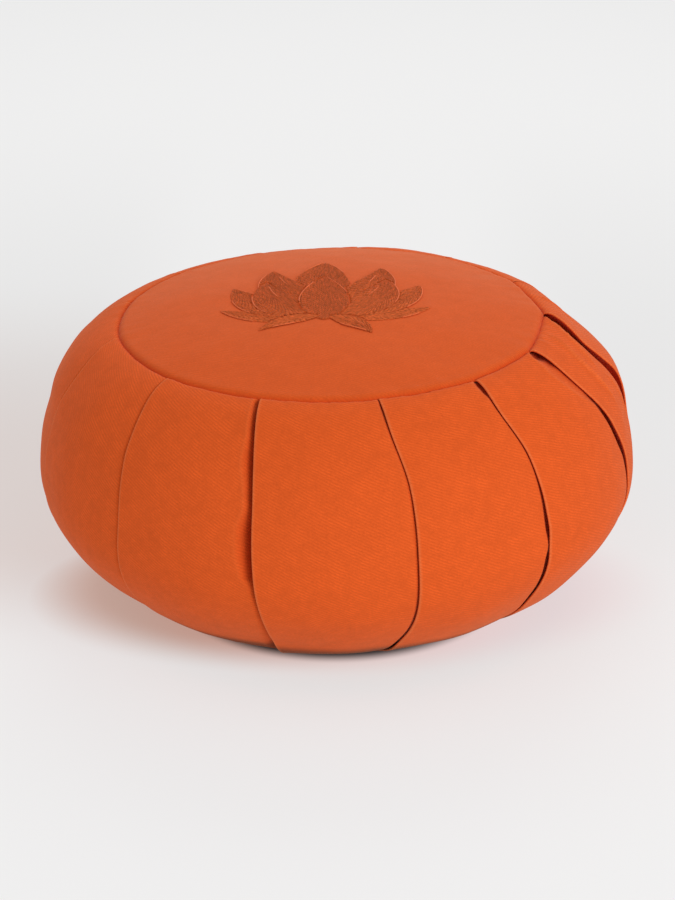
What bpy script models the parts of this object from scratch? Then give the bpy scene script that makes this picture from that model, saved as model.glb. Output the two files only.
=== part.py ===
"""A zafu, the round cushion a person sits on to meditate.

Real zafus are sewn from three pieces of cloth: two round panels and one long
strip that is folded into knife pleats and stitched between them. The filling
pushes the strip out into a fat ring. Here the strip and its filling are one
solid, and each round panel is a thin sheet let into it.

Z is up, the front of the cushion faces -Y, and +X is on its right.
Every azimuth is in degrees from the front, rising towards the right.
"""

import math
from collections import namedtuple

import bmesh
import bpy

MM = 0.001

# The round panels, in millimetres.
CLOTH = 2.0  # thickness of a panel with its seam allowance pressed under it
SEAM_GAP = 0.9  # the crease between a panel's rim and the pleated strip
UNDER_GAP = 0.36  # clearance between a panel and the filling behind it
CROWN = 14.0  # how far the top panel domes above its seam
RIM_ROLL = 1.0  # how far the cloth turns down into the seam
PANEL_TURNS = 78  # points round each ring of a panel
TOP_RINGS = (0.0, 34.0, 64.0, 90.0, 110.0, 121.0)
BASE_RINGS = (0.0, 42.0, 84.0, 92.5, 101.0, 108.0)
FLAT_RADIUS = 84.0  # the part of the underside that lies flat on the floor

# The cushion sits a little crooked: its top seam has slid to the left and tips
# down on that side.
TOP_SHIFT_X = -3.3
TOP_SHIFT_Y = 0.2
TOP_TILT_X = 0.0183
TOP_TILT_Y = 0.0054

# The middle of the whole cushion's width and depth, which goes on the origin.
MIDDLE_X = 0.25
MIDDLE_Y = -0.09

# The outline of the strip, cut through the middle of a panel of cloth.
Outline = namedtuple("Outline", "radius height")
OUTLINE = (
    Outline(128.4, 177.1),
    Outline(139.8, 172.6),
    Outline(150.0, 164.8),
    Outline(161.0, 152.3),
    Outline(169.9, 138.0),
    Outline(176.0, 118.5),
    Outline(178.8, 97.0),
    Outline(178.3, 79.0),
    Outline(172.9, 63.4),
    Outline(162.2, 48.0),
    Outline(146.2, 32.4),
    Outline(129.8, 19.6),
    Outline(113.5, 10.9),
)
TOP_SEAM = OUTLINE[0]
BASE_SEAM = OUTLINE[-1]

# The knife pleats. Each is a folded edge that lies over the cloth to its left.
# top, waist and foot: the azimuth of the fold at the top seam, at half height
# and at the bottom seam. proud: how far the fold stands out. dip: how far the
# cloth it covers rolls inwards. gape: how far the fold stands off that cloth.
# tuck: how deep the fold reaches back. opens: the share of the strip's length
# over which the fold rises out of the top seam.
Pleat = namedtuple("Pleat", "top waist foot proud dip gape tuck opens")
PLEATS = (
    Pleat(-107.0, -102.5, -103.5, 1.6, 1.6, 0.8, 7.0, 0.24),
    Pleat(-79.5, -75.0, -76.0, 1.6, 1.6, 0.8, 7.0, 0.24),
    Pleat(-46.4, -44.0, -48.5, 1.8, 1.8, 0.8, 7.0, 0.24),
    Pleat(-17.6, -15.2, -14.4, 5.2, 2.0, 1.3, 9.0, 0.30),
    Pleat(12.0, 15.0, 13.0, 2.2, 3.4, 1.1, 9.0, 0.22),
    Pleat(39.2, 42.8, 48.5, 2.6, 3.2, 2.2, 11.0, 0.10),
    Pleat(64.2, 75.6, 74.5, 3.4, 3.8, 2.8, 12.0, 0.09),
    Pleat(89.5, 91.6, 92.5, 2.6, 3.2, 2.0, 10.0, 0.10),
    Pleat(118.8, 119.5, 119.0, 2.2, 2.4, 1.2, 9.0, 0.18),
    Pleat(146.0, 147.5, 147.0, 2.0, 2.2, 1.0, 8.0, 0.22),
    Pleat(172.7, 174.5, 174.0, 2.0, 2.2, 1.0, 8.0, 0.22),
    Pleat(199.5, 202.0, 201.5, 2.0, 2.2, 1.0, 8.0, 0.22),
    Pleat(226.3, 230.0, 229.5, 2.0, 2.2, 1.0, 8.0, 0.22),
)
FOOT_CLOSES = 0.11  # the share of the length over which a fold sinks at the foot
BULGE = 1.4  # how far each panel of cloth swells between its folds
LIP_REACH = 16.0  # how quickly the swell of a fold dies away along the panel
ROLL_REACH = 4.0  # how quickly the cloth rolls in beside the next fold

# Where along the strip, from top seam to bottom seam, its rows of points lie.
ROWS = (
    0.0, 0.012, 0.035, 0.075, 0.13, 0.2, 0.28, 0.37, 0.46,
    0.55, 0.64, 0.73, 0.81, 0.88, 0.935, 0.975, 1.0,
)
# Points across one panel of cloth, as shares of its width.
ACROSS = (0.09, 0.2, 0.33, 0.47, 0.61, 0.74, 0.85)

ORANGE = (0.68, 0.10, 0.02, 1.0)


def ease(value):
    """0 to 1 with a soft start and a soft end."""
    value = min(max(value, 0.0), 1.0)
    return value * value * (3.0 - 2.0 * value)


def curve_through(rows, steps=24):
    """Points of a smooth curve through every row of an outline."""
    first, last = rows[0], rows[-1]
    before = Outline(2 * first.radius - rows[1].radius, 2 * first.height - rows[1].height)
    after = Outline(2 * last.radius - rows[-2].radius, 2 * last.height - rows[-2].height)
    held = (before,) + tuple(rows) + (after,)
    points = []
    for index in range(1, len(held) - 2):
        a, b, c, d = held[index - 1 : index + 3]
        for step in range(steps):
            t = step / steps
            point = []
            for axis in range(2):
                square = 2 * a[axis] - 5 * b[axis] + 4 * c[axis] - d[axis]
                cube = 3 * b[axis] - a[axis] - 3 * c[axis] + d[axis]
                slope = c[axis] - a[axis]
                point.append(0.5 * (2 * b[axis] + slope * t + square * t**2 + cube * t**3))
            points.append(Outline(*point))
    points.append(last)
    return points


def lengths_along(points):
    """The distance from the first point to each point of a curve."""
    total = [0.0]
    for one, two in zip(points, points[1:]):
        total.append(total[-1] + math.dist(one, two))
    return total


CURVE = curve_through(OUTLINE)
ALONG = lengths_along(CURVE)


def outline_at(share):
    """The point of the outline at a share of its length, and its outward normal."""
    reach = share * ALONG[-1]
    index = 0
    while index < len(ALONG) - 2 and ALONG[index + 1] < reach:
        index += 1
    one, two = CURVE[index], CURVE[index + 1]
    t = (reach - ALONG[index]) / (ALONG[index + 1] - ALONG[index])
    radius = one.radius + t * (two.radius - one.radius)
    height = one.height + t * (two.height - one.height)
    before, after = CURVE[max(index - 2, 0)], CURVE[min(index + 3, len(CURVE) - 1)]
    run, drop = after.radius - before.radius, before.height - after.height
    size = math.hypot(run, drop)
    return radius, height, drop / size, run / size


def fold_azimuth(pleat, share):
    """The azimuth of a fold at a share of the strip's length."""
    if share < 0.5:
        return pleat.top + (pleat.waist - pleat.top) * ease(share / 0.5)
    return pleat.waist + (pleat.foot - pleat.waist) * ease((share - 0.5) / 0.5)


def settle(x, y, z, top_share):
    """Slides and tips a point with the crooked top seam, by 0 to 1."""
    z += top_share * (TOP_TILT_X * x + TOP_TILT_Y * y)
    return x + top_share * TOP_SHIFT_X, y + top_share * TOP_SHIFT_Y, z


def on_ring(radius, height, azimuth, top_share):
    """A point at a radius, a height and an azimuth, in metres."""
    turn = math.radians(azimuth)
    x, y, z = settle(radius * math.sin(turn), -radius * math.cos(turn), height, top_share)
    return (x - MIDDLE_X) * MM, (y - MIDDLE_Y) * MM, z * MM


def across_pleat(pleat, after, share, radius):
    """One row of points from the back of a fold to the back of the next one.

    Each is (azimuth, height above the outline). At the two seams every point
    lies on the outline, side by side; away from them the fold laps over.
    """
    here = fold_azimuth(pleat, share)
    width = math.radians(fold_azimuth(after, share) - here) * radius
    foot = ease((1.0 - share) / FOOT_CLOSES)
    rise = ease(share / pleat.opens) * foot
    next_rise = ease(share / after.opens) * foot
    swell = ease(share / 0.2) * foot

    def top_of(along):
        """How high the cloth lies at a distance along the panel."""
        lip = pleat.proud * rise * math.exp(-max(along, 0.0) / LIP_REACH)
        roll = after.dip * next_rise * math.exp(-max(width - along, 0.0) / ROLL_REACH)
        return lip - roll + BULGE * swell * math.sin(math.pi * min(max(along / width, 0), 1))

    mouth = -pleat.dip * rise + pleat.gape * rise
    lip_top = top_of(3.0)
    points = []

    def add(seam, along, height):
        """A point that slides from its place in the seam to its place in the fold."""
        weight = rise if seam < width / 2 else next_rise
        points.append((seam + weight * (along - seam), height))

    add(0.0, pleat.tuck, (-pleat.dip - 1.0) * rise)
    add(0.4, pleat.tuck * 0.5, mouth - 0.4 * rise)
    add(0.8, 1.4, mouth)
    add(1.2, 0.0, (mouth + lip_top) / 2)
    add(1.7, 0.9, lip_top * 0.86 + mouth * 0.14)
    add(3.4, 3.4, top_of(3.4))
    for part in ACROSS:
        add(part * width, part * width, top_of(part * width))
    add(width - 5.5, width - 5.5, top_of(width - 5.5))
    add(width - 2.4, width - 2.4, top_of(width - 2.4))
    add(width - 0.4, width + after.tuck * 0.35, (-after.dip - 0.5) * next_rise)
    return [(here + math.degrees(along / radius), height) for along, height in points]


def strip_row(share):
    """Every point of the strip's surface at one share of its length."""
    radius, height, out, up = outline_at(share)
    top_share = ease(1.0 - share / 0.5)
    edge = min(share, 1.0 - share) * ALONG[-1]
    sink = RIM_ROLL * math.exp(-edge / 1.6)
    row = []
    for index, pleat in enumerate(PLEATS):
        after = PLEATS[(index + 1) % len(PLEATS)]
        if index == len(PLEATS) - 1:
            turned = {name: getattr(after, name) + 360.0 for name in ("top", "waist", "foot")}
            after = after._replace(**turned)
        for azimuth, lift in across_pleat(pleat, after, share, radius):
            lift -= sink
            row.append(
                on_ring(radius + out * lift, height + up * lift, azimuth, top_share)
            )
    return row


def crown_height(radius):
    """The height of the top panel's outside at a radius."""
    rim = TOP_SEAM.radius - SEAM_GAP
    dome = CROWN * (1.0 - (radius / TOP_SEAM.radius) ** 2.2)
    return TOP_SEAM.height + dome - RIM_ROLL * math.exp(-(rim - radius) / 1.6)


def base_height(radius):
    """The height of the underside at a radius: flat, then rising to its seam."""
    if radius <= FLAT_RADIUS:
        return 0.0
    share = (radius - FLAT_RADIUS) / (BASE_SEAM.radius - FLAT_RADIUS)
    return (BASE_SEAM.height - 0.6) * share**1.25


def base_rise(radius, depth):
    """A point of the underside moved in by a depth, square to the cloth."""
    slope = (base_height(radius + 0.5) - base_height(radius)) / 0.5
    size = math.hypot(1.0, slope)
    return radius - depth * slope / size, base_height(radius) + depth / size


def ring(radius, height, top_share):
    """A closed ring of points on a round panel."""
    if radius == 0.0:
        return [on_ring(0.0, height, 0.0, top_share)]
    step = 360.0 / PANEL_TURNS
    return [on_ring(radius, height, step * n - 180.0, top_share) for n in range(PANEL_TURNS)]


def turn_of(point, centre):
    """The azimuth of a point about a centre, from -180 to 180 degrees."""
    return math.degrees(math.atan2(point[0] - centre[0], -(point[1] - centre[1])))


def from_behind(loop, points, centre):
    """A loop of point numbers in rising azimuth, starting at the back."""
    turns = [(turn_of(points[number], centre), number) for number in loop]
    start = turns.index(min(turns))
    return turns[start:] + turns[:start]


def stitch(loop_a, loop_b, points, centre):
    """Triangles between two loops that may hold different numbers of points."""
    if len(loop_b) == 1:
        return [(a, b, loop_b[0]) for a, b in zip(loop_a, loop_a[1:] + loop_a[:1])]
    if len(loop_a) == 1:
        return stitch(loop_b, loop_a, points, centre)
    first = from_behind(loop_a, points, centre)
    second = from_behind(loop_b, points, centre)
    first.append((first[0][0] + 360.0, first[0][1]))
    second.append((second[0][0] + 360.0, second[0][1]))
    faces = []
    i = j = 0
    while i < len(first) - 1 or j < len(second) - 1:
        step_first = j == len(second) - 1
        if not step_first and i < len(first) - 1:
            step_first = first[i + 1][0] <= second[j + 1][0]
        if step_first:
            faces.append((first[i][1], first[i + 1][1], second[j][1]))
            i += 1
        else:
            faces.append((first[i][1], second[j + 1][1], second[j][1]))
            j += 1
    return faces


def solid(name, loops):
    """A closed solid from loops of points, each joined to the next."""
    points = []
    numbers = []
    for loop in loops:
        numbers.append(list(range(len(points), len(points) + len(loop))))
        points.extend(loop)
    faces = []
    for loop_a, loop_b in zip(numbers, numbers[1:]):
        if len(loop_a) == len(loop_b):
            ends = zip(loop_a, loop_a[1:] + loop_a[:1], loop_b[1:] + loop_b[:1], loop_b)
            faces.extend(ends)
        else:
            centre = on_ring(0.0, 0.0, 0.0, 1.0 if points[loop_a[0]][2] > 0.1 else 0.0)
            faces.extend(stitch(loop_a, loop_b, points, centre))
    mesh = bpy.data.meshes.new(name)
    mesh.from_pydata(points, [], faces)
    shape = bmesh.new()
    shape.from_mesh(mesh)
    bmesh.ops.triangulate(shape, faces=shape.faces)
    bmesh.ops.recalc_face_normals(shape, faces=shape.faces)
    shape.to_mesh(mesh)
    shape.free()
    for face in mesh.polygons:
        face.use_smooth = True
    item = bpy.data.objects.new(name, mesh)
    bpy.context.collection.objects.link(item)
    item.data.materials.append(cotton(name))
    return item


def cotton(name):
    """A plain orange cotton of its own for each piece."""
    material = bpy.data.materials.new(name + "_cotton")
    material.use_nodes = True
    shader = material.node_tree.nodes["Principled BSDF"]
    shader.inputs["Base Color"].default_value = ORANGE
    shader.inputs["Roughness"].default_value = 0.9
    return material


def top_panel():
    """The upper round panel, a crowned sheet."""
    rim = TOP_SEAM.radius - SEAM_GAP
    rings = TOP_RINGS + (rim - 2.4, rim - 0.5)
    outside = [ring(radius, crown_height(radius), 1.0) for radius in rings]
    edge = [ring(rim, crown_height(rim) - 0.5, 1.0)]
    foot = crown_height(rim - 0.5) - CLOTH
    inside = [ring(rim, foot + 0.25, 1.0), ring(rim - 0.5, foot, 1.0)]
    for radius in reversed(rings[:-1]):
        inside.append(ring(radius, crown_height(radius) - CLOTH, 1.0))
    return solid("top_panel", outside + edge + inside)


def bottom_panel():
    """The lower round panel: flat in the middle, turned up at its edge."""
    rim = BASE_SEAM.radius - SEAM_GAP
    outside = [ring(radius, base_height(radius), 0.0) for radius in BASE_RINGS]
    outside.append(ring(rim - 0.6, base_height(rim - 0.6), 0.0))
    outside.append(ring(rim, base_height(rim) + 0.5, 0.0))
    inside = [ring(*base_rise(rim - 0.1, CLOTH - 0.3), 0.0)]
    for radius in reversed(BASE_RINGS[1:]):
        inside.append(ring(*base_rise(radius, CLOTH), 0.0))
    inside.append(ring(0.0, CLOTH, 0.0))
    return solid("bottom_panel", outside + inside)


def pleated_band():
    """The pleated strip with its filling, hollowed a little for both panels."""
    behind = CLOTH + UNDER_GAP
    loops = [ring(radius, crown_height(radius) - behind, 1.0) for radius in TOP_RINGS]
    rows = [strip_row(share) for share in ROWS]
    loops.append(sunk(rows[0], behind))
    loops.extend(rows)
    loops.append(sunk(rows[-1], -behind))
    for radius in reversed(BASE_RINGS[1:]):
        loops.append(ring(*base_rise(radius, behind), 0.0))
    loops.append(ring(0.0, behind, 0.0))
    return solid("pleated_band", loops)


def sunk(row, drop):
    """A copy of a seam's row of points at another height: the recess's wall."""
    return [(x, y, z - drop * MM) for x, y, z in row]


for old in list(bpy.data.objects):
    bpy.data.objects.remove(old)

pleated_band()
top_panel()
bottom_panel()
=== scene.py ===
# %% [markdown]
# # Dressing a pleated zafu
# A zafu is the round cushion that a person sits on to meditate. Two round panels of
# cotton twill are sewn to one long strip, and the strip is folded into knife pleats so
# that the filling can push it out into a fat ring.
# The plain solids of the cushion come in first. Every piece made below lies on them.

import math
from collections import namedtuple

import bpy
import numpy as np
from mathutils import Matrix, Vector, noise


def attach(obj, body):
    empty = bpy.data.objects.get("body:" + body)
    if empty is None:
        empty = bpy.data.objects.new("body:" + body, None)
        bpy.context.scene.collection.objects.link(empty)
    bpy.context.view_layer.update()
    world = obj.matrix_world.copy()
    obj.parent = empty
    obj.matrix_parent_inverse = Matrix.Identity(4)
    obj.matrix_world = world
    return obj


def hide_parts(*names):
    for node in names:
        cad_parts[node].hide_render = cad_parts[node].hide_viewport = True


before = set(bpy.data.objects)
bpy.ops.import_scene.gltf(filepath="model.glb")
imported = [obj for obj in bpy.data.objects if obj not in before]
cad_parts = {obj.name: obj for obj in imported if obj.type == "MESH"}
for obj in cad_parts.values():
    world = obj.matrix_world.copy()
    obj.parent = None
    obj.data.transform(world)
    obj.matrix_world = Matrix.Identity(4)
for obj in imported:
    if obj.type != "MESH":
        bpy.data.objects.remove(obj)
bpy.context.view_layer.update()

MM = 0.001


def table(columns, *rows):
    """Rows of values as a list whose columns have names."""
    row_type = namedtuple("Row", columns)
    return [row_type(*row) for row in rows]


def ease(value):
    """0 to 1 with a soft start and a soft end."""
    value = np.clip(value, 0.0, 1.0)
    return value * value * (3.0 - 2.0 * value)


def span_before(stops, place):
    """Which span between two stops a place lies in, counted from 0."""
    return min(max(int(np.searchsorted(stops, place)) - 1, 0), len(stops) - 2)


def add_object(name, data):
    """A new object in the scene that holds some data."""
    thing = bpy.data.objects.new(name, data)
    bpy.context.scene.collection.objects.link(thing)
    return thing


def aim_from(thing, place, way):
    """Put a camera or light at a place and turn it to look along a way."""
    thing.location = place
    thing.rotation_mode = "QUATERNION"
    thing.rotation_quaternion = way.to_track_quat("-Z", "Y")


# %% [markdown]
# ## The camera
# A long lens a few steps away, looking down at the cushion from a little above. The
# long lens keeps the near and the far side almost the same size, as a shop photographs
# such things.

# %% Place the camera
CAMERA_DISTANCE = 1.8
CAMERA_ELEVATION = math.radians(23.08)
CAMERA_TARGET = Vector((0.0005, 0.0, 0.0916))
CAMERA_LENS = 117.47

look_back = Vector((0.0, -math.cos(CAMERA_ELEVATION), math.sin(CAMERA_ELEVATION)))
camera_data = bpy.data.cameras.new("camera")
camera_data.lens = CAMERA_LENS
camera_data.sensor_width = 36.0
camera = add_object("camera", camera_data)
aim_from(camera, CAMERA_TARGET + look_back * CAMERA_DISTANCE, -look_back)
bpy.context.scene.camera = camera
print("camera at", [round(v, 3) for v in camera.location])

# %% [markdown]
# ## The side outline
# Cut the cushion through the middle of one panel of cloth and this is the edge you
# see, from the top seam down to the bottom one. A short table of radii and heights is
# enough, because a smooth curve is drawn through it.
# The first and last rows lie inside the seams, where the strip's edge turns in behind
# the round panels and can't be seen.

# %% Draw a smooth curve through the outline
OUTLINE = table(
    "radius height",
    (128.4, 177.1),
    (139.8, 172.6),
    (150.0, 164.8),
    (161.0, 152.3),
    (169.9, 138.0),
    (176.0, 118.5),
    (178.8, 97.0),
    (178.3, 79.0),
    (172.9, 63.4),
    (162.2, 48.0),
    (146.2, 32.4),
    (129.8, 19.6),
    (113.5, 10.9),
)
TOP_SEAM = OUTLINE[0]
BASE_SEAM = OUTLINE[-1]


def smooth_curve(rows, steps=24):
    """Points of a Catmull-Rom curve through the rows of a table."""
    held = np.array([2 * np.array(rows[0]) - rows[1], *rows, 2 * np.array(rows[-1]) - rows[-2]])
    t = np.linspace(0.0, 1.0, steps, endpoint=False)[:, None]
    points = []
    for a, b, c, d in zip(held, held[1:], held[2:], held[3:]):
        square = 2 * a - 5 * b + 4 * c - d
        cube = 3 * b - a - 3 * c + d
        points.append(0.5 * (2 * b + (c - a) * t + square * t**2 + cube * t**3))
    points.append(held[-2:-1])
    return np.concatenate(points)


def walked(path):
    """How far along a path each of its points lies."""
    return np.concatenate([[0.0], np.cumsum(np.linalg.norm(np.diff(path, axis=0), axis=1))])


side = smooth_curve(OUTLINE)
side_along = walked(side)
SIDE_LENGTH = side_along[-1]
side_slope = np.gradient(side, side_along, axis=0)
print("the strip is", round(SIDE_LENGTH), "mm from seam to seam")

# %% [markdown]
# ## The folds
# Each knife pleat is a folded edge that lies over the cloth to its left. One row of the
# table is one fold, with its azimuth from the front at six stops from the top seam down
# to the bottom one. The folds drift sideways on the way because the cloth was tucked by
# hand before it was sewn.
# Reading azimuths instead of points keeps the whole strip one family of curves, and a
# fold can be moved by changing one number.

# %% Name the folds
# swell: how far the filling pushes the panel out. corner and sag: how far the top seam
# lies outside its circle at the fold, and falls back inside it beyond. In millimetres.
FOLD_STOPS = (0.0, 0.1, 0.25, 0.45, 0.7, 1.0)  # where the six azimuths of a row lie
FOLDS = table(
    "name top shoulder upper waist lower foot swell corner sag",
    ("left_back", -107.0, -104.5, -102.8, -102.5, -103.0, -103.5, 1.4, 0.2, 0.8),
    ("left_far", -79.8, -75.2, -74.3, -75.5, -76.0, -76.0, 1.6, 0.0, 0.6),
    ("left_near", -46.5, -45.5, -44.5, -44.0, -46.0, -49.0, 1.4, 0.0, 0.5),
    ("front_left", -17.8, -16.6, -15.4, -15.2, -14.1, -14.5, 1.6, 0.0, 0.3),
    ("front_right", 12.1, 12.6, 14.4, 14.9, 15.2, 12.0, 1.4, 0.0, 0.6),
    ("right_near", 39.9, 38.9, 41.0, 42.7, 43.6, 50.0, 1.4, 0.4, 1.3),
    ("right_mid", 64.6, 64.9, 69.2, 75.2, 76.5, 74.0, 1.2, 1.0, 2.6),
    ("right_far", 92.6, 87.0, 89.0, 91.6, 92.0, 92.5, 1.2, 0.6, 1.8),
    ("right_back", 118.8, 119.0, 119.3, 119.5, 119.2, 119.0, 1.4, 0.4, 1.0),
    ("back_a", 146.0, 146.6, 147.2, 147.5, 147.2, 147.0, 1.4, 0.2, 0.8),
    ("back_b", 172.7, 173.4, 174.2, 174.5, 174.2, 174.0, 1.4, 0.2, 0.8),
    ("back_c", 199.5, 200.6, 201.6, 202.0, 201.8, 201.5, 1.4, 0.2, 0.8),
    ("back_d", 226.3, 228.0, 229.5, 230.0, 229.8, 229.5, 1.4, 0.2, 0.8),
)

# How a fold opens on its way down the strip. share: where, as a share of the way from
# top seam to bottom seam. proud: how far the folded edge stands out. deep: how far the
# cloth beside it sinks. wide: how soon that cloth starts to sink. All in millimetres.
# crisp: 0 where that cloth rolls in softly, 1 where it bends at a pressed crease.
Mouth = namedtuple("Mouth", "share proud deep wide crisp", defaults=(0.0,))
PLAIN_MOUTH = (
    (0.0, 0.1, 0.3, 1.2),
    (0.1, 0.4, 0.7, 2.0),
    (0.25, 1.1, 1.3, 2.6),
    (0.5, 1.5, 1.8, 3.0),
    (0.85, 1.5, 1.6, 2.6),
    (1.0, 0.8, 0.8, 2.0),
)
MOUTHS = {
    "left_far": (
        (0.0, 0.8, 1.2, 1.8, 0.2),
        (0.12, 1.3, 2.2, 3.4, 0.3),
        (0.35, 1.5, 2.6, 4.2, 0.2),
        (0.55, 1.3, 1.8, 3.2),
        (1.0, 0.8, 0.8, 2.0),
    ),
    "left_near": (
        (0.0, 0.8, 1.0, 1.5),
        (0.12, 1.2, 1.8, 2.8, 0.1),
        (0.3, 1.4, 2.1, 3.2),
        (0.5, 1.4, 1.8, 3.0),
        (0.85, 1.7, 1.8, 3.0),
        (1.0, 0.8, 0.8, 2.0),
    ),
    "front_left": (
        (0.0, 0.9, 2.6, 2.6, 0.3),
        (0.02, 1.2, 5.6, 4.4, 0.5),
        (0.12, 1.4, 6.2, 5.0, 0.5),
        (0.2, 1.5, 7.2, 7.6, 0.4),
        (0.27, 1.6, 6.2, 6.0, 0.5),
        (0.32, 1.6, 5.8, 5.6, 0.5),
        (0.39, 1.8, 8.8, 10.5, 0.3),
        (0.45, 2.0, 9.0, 10.6, 0.3),
        (0.515, 2.0, 8.6, 8.8, 0.3),
        (0.54, 1.8, 3.0, 5.0),
        (0.62, 1.4, 1.7, 4.4),
        (0.78, 1.6, 2.2, 6.0),
        (0.88, 2.4, 3.6, 7.0, 0.2),
        (0.95, 2.4, 3.4, 5.0, 0.2),
        (1.0, 1.2, 1.2, 2.0),
    ),
    "front_right": (
        (0.0, 0.7, 1.0, 1.5, 0.3),
        (0.04, 0.9, 1.9, 2.0, 0.3),
        (0.2, 0.8, 1.1, 1.8, 0.2),
        (0.36, 1.0, 1.6, 2.8, 0.1),
        (0.6, 1.1, 1.7, 2.7, 0.1),
        (0.75, 1.1, 1.3, 2.2, 0.1),
        (0.9, 1.4, 1.8, 2.6),
        (1.0, 0.9, 1.0, 2.0),
    ),
    "right_near": (
        (0.0, 0.7, 1.6, 2.4, 0.6),
        (0.02, 0.9, 2.9, 4.2, 0.8),
        (0.05, 0.9, 2.7, 4.0, 0.8),
        (0.08, 0.8, 1.2, 2.2, 0.3),
        (0.14, 0.7, 0.9, 1.4, 0.1),
        (0.28, 0.8, 1.1, 1.8),
        (0.38, 1.1, 1.9, 2.8),
        (0.455, 1.3, 3.2, 3.6),
        (0.51, 0.8, 0.9, 1.8),
        (0.55, 1.3, 3.0, 3.4),
        (0.66, 1.2, 2.2, 3.2),
        (0.8, 1.0, 1.3, 2.2),
        (1.0, 0.9, 1.0, 2.0),
    ),
    "right_mid": (
        (0.0, 0.8, 2.2, 3.6, 0.8),
        (0.025, 1.0, 4.2, 7.8, 0.9),
        (0.06, 0.9, 2.3, 9.8, 1.0),
        (0.1, 0.8, 1.1, 11.5, 1.0),
        (0.17, 0.8, 0.9, 10.0, 0.9),
        (0.23, 1.0, 1.5, 4.6, 0.3),
        (0.3, 1.5, 4.2, 5.0),
        (0.36, 1.6, 5.0, 5.6),
        (0.42, 1.4, 3.8, 4.6),
        (0.5, 1.1, 1.8, 2.8),
        (0.6, 1.1, 1.6, 2.4),
        (0.85, 1.2, 1.9, 3.0),
        (1.0, 0.9, 1.0, 2.0),
    ),
    "right_far": (
        (0.0, 1.0, 2.4, 5.0, 0.8),
        (0.03, 1.7, 4.6, 10.5, 0.8),
        (0.07, 1.6, 3.4, 10.0, 0.6),
        (0.13, 1.5, 2.8, 7.0, 0.2),
        (0.19, 1.8, 4.4, 9.5, 0.1),
        (0.25, 2.1, 5.8, 12.0, 0.1),
        (0.32, 2.1, 5.8, 11.5, 0.1),
        (0.39, 1.6, 3.6, 6.5),
        (0.6, 1.2, 1.8, 3.0),
        (1.0, 0.9, 1.0, 2.0),
    ),
    "right_back": (
        (0.0, 0.2, 0.5, 1.4),
        (0.08, 0.5, 0.9, 2.0),
        (0.2, 1.1, 1.6, 3.0),
        (0.5, 1.5, 2.2, 3.0),
        (1.0, 0.9, 0.9, 2.0),
    ),
}


def mouth_at(name, share):
    """The proud, deep, wide and crisp of a fold at a share of the strip's length."""
    rows = [Mouth(*row) for row in MOUTHS.get(name, PLAIN_MOUTH)]
    index = span_before([row.share for row in rows], share)
    one, two = rows[index], rows[index + 1]
    t = ease((share - one.share) / (two.share - one.share))
    return [a + t * (b - a) for a, b in zip(one[1:], two[1:])]


print(len(FOLDS), "folds")

# %% [markdown]
# ## One row of points round the strip
# A row starts at the back of one fold, comes out along the underside of the folded
# edge, turns round its nose, runs across the panel of cloth and dives under the next
# fold. Built this way the cloth really laps over itself, so the dark line beside each
# fold is a real shadow, and painted shade on the cloth inside the fold deepens it. The
# turned edge of each fold is painted paler: part wear, part painted highlight.

# %% Read a smooth curve through a short table
def curve_value(stops, values, place):
    """The value at a place of a smooth curve through values that lie at stops."""
    slopes = np.gradient(np.array(values, float), stops)
    index = span_before(stops, place)
    gap = stops[index + 1] - stops[index]
    t = min(max((place - stops[index]) / gap, 0.0), 1.0)
    bend = slopes[index] * t * (1.0 - t) ** 2 - slopes[index + 1] * t**2 * (1.0 - t)
    return values[index] + (values[index + 1] - values[index]) * ease(t) + gap * bend


def fold_azimuth(fold, share):
    """The azimuth of a fold at a share of the strip's length, in degrees."""
    return curve_value(FOLD_STOPS, fold[1:7], share)


print("the fold at the front left moves from", round(fold_azimuth(FOLDS[3], 0.0), 1), end=" ")
print("to", round(fold_azimuth(FOLDS[3], 1.0), 1), "degrees")

# %% Describe the cloth from one fold to the next
FOLD_THICK = 1.4  # two layers of twill, folded and pressed, in millimetres
TUCK = 12.0  # how far a fold reaches back under itself
TUCK_FALL = 0.06  # how steeply it falls away there
NOSE_REACH = 0.9  # how far the turned edge of a fold reaches along the cloth
PANEL_START = 10.3  # where the even steps across a panel begin
LIP_REACH = 16.0  # how quickly the swell beside a fold dies away
RIDGE = 0.5  # how far a pressed crease stands up
RIDGE_REACH = 1.3
FULL_SHADE_DEPTH = 5.0  # how deep in a fold the cloth gets all of its painted shade
UNDER_STEPS = np.array([0.0, 0.3, 0.55, 0.75, 0.9, 1.0])
NOSE_TURNS = np.radians([245.0, 212.0, 180.0, 148.0, 115.0])
# The turned edge of a fold is painted paler: part wear, part painted highlight.
NOSE_WEAR_AND_HIGHLIGHT = (0.0, 0.0, 0.3, 0.7, 0.8)
# Painted shade on the turned edge where it lies inside the fold.
NOSE_SHADE = (1.0, 0.7, 0.2, 0.0, 0.0)
LIP_STEPS = np.array([1.3, 2.2, 3.8, 5.8, 8.4])
# Painted paler just beside a fold's edge: part wear, part painted highlight.
LIP_WEAR_AND_HIGHLIGHT = (0.2, 0.0, 0.0, 0.0, 0.0)
PRESSED_WEAR_AND_HIGHLIGHT = 0.45  # how much paler the top of a pressed line is painted: part wear, part painted highlight
PANEL_STEPS = 25
BACK_STEPS = 18
CREASED_STEPS = 60
ROLL_STEPS = np.array([1.35, 1.16, 1.0, 0.85, 0.7, 0.55, 0.4, 0.27, 0.15, 0.05])

# A pressed line across a panel: the share of the strip's length where it starts and
# ends, the share of the panel's width where it lies there, and its height.
CREASES = table(
    "fold start stop start_at stop_at height",
    ("right_mid", 0.01, 0.30, 0.50, 0.36, 1.9),
    ("right_mid", 0.01, 0.20, 0.84, 0.62, 1.8),
    ("right_mid", 0.20, 0.50, 0.68, 0.60, 0.7),
    ("right_far", 0.02, 0.16, 0.55, 0.42, 0.9),
)


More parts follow.
